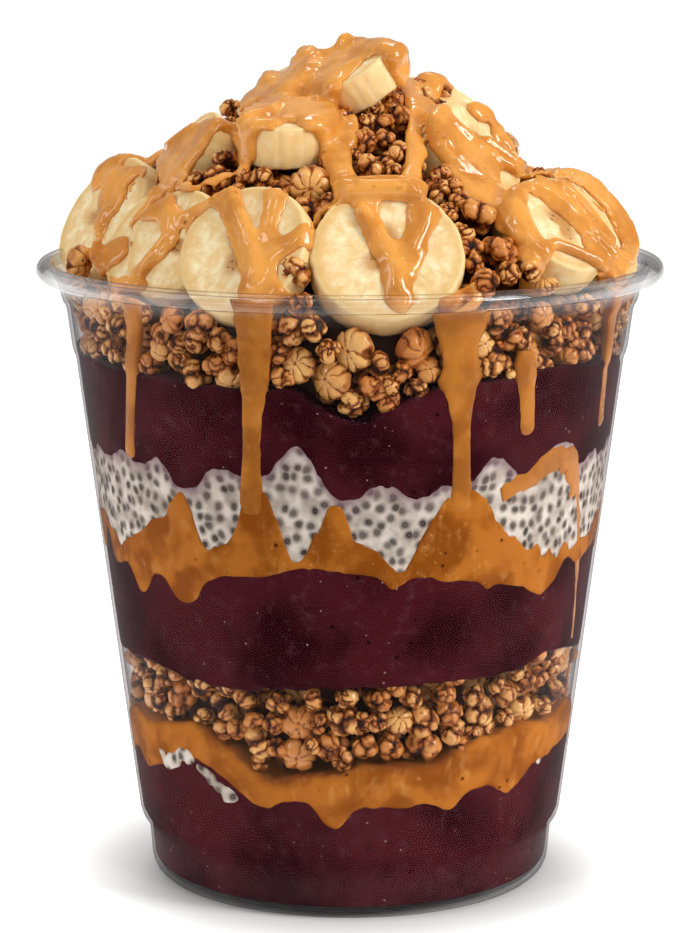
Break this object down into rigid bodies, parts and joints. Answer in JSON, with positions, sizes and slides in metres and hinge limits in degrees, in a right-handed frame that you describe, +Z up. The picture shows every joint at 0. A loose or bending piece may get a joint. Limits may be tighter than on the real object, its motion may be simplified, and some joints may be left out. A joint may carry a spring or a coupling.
{
  "type": "acai bowl",
  "caption": "Clear tapered cup layered with acai, peanut butter, chia pudding and granola, heaped with granola and sauced banana slices, standing on its foot.",
  "frame": {"origin": "centre of the foot ring on the surface the cup stands on", "axes": "+Z up the cup's axis; the front, with the two longest sauce runs, faces -Y; +X to the viewer's right"},
  "size_m": [0.1164, 0.117, 0.1579],
  "materials": {
    "clear": "clear, glossy",
    "acai": "moist, finely speckled",
    "peanut": "smooth, glossy",
    "chia": "milky with dark seeds",
    "granola": "toasted, glazed clusters",
    "banana": "moist cut fruit"
  },
  "bodies": {
    "root": {"cup": "clear", "acai_base": "acai", "peanut_butter_lower": "peanut", "granola_lower": "granola", "acai_middle": "acai", "peanut_butter_upper": "peanut", "chia_pudding": "chia", "acai_upper": "acai", "peanut_butter_run_left": "peanut", "peanut_butter_run_front_left": "peanut", "peanut_butter_run_front_right": "peanut", "peanut_butter_run_right": "peanut", "peanut_butter_run_far_right": "peanut", "peanut_butter_run_back_right": "peanut", "peanut_butter_run_back_left": "peanut", "banana_slice_01": "banana", "banana_slice_02": "banana", "banana_slice_03": "banana", "banana_slice_04": "banana", "banana_slice_05": "banana", "banana_slice_06": "banana", "banana_slice_07": "banana", "banana_slice_08": "banana", "banana_slice_09": "banana", "banana_slice_10": "banana", "banana_slice_11": "banana", "banana_slice_12": "banana", "banana_slice_13": "banana", "banana_slice_14": "banana", "banana_slice_15": "banana", "banana_slice_16": "banana", "banana_slice_17": "banana", "banana_slice_18": "banana", "granola_top": "granola"}
  },
  "joints": []
}
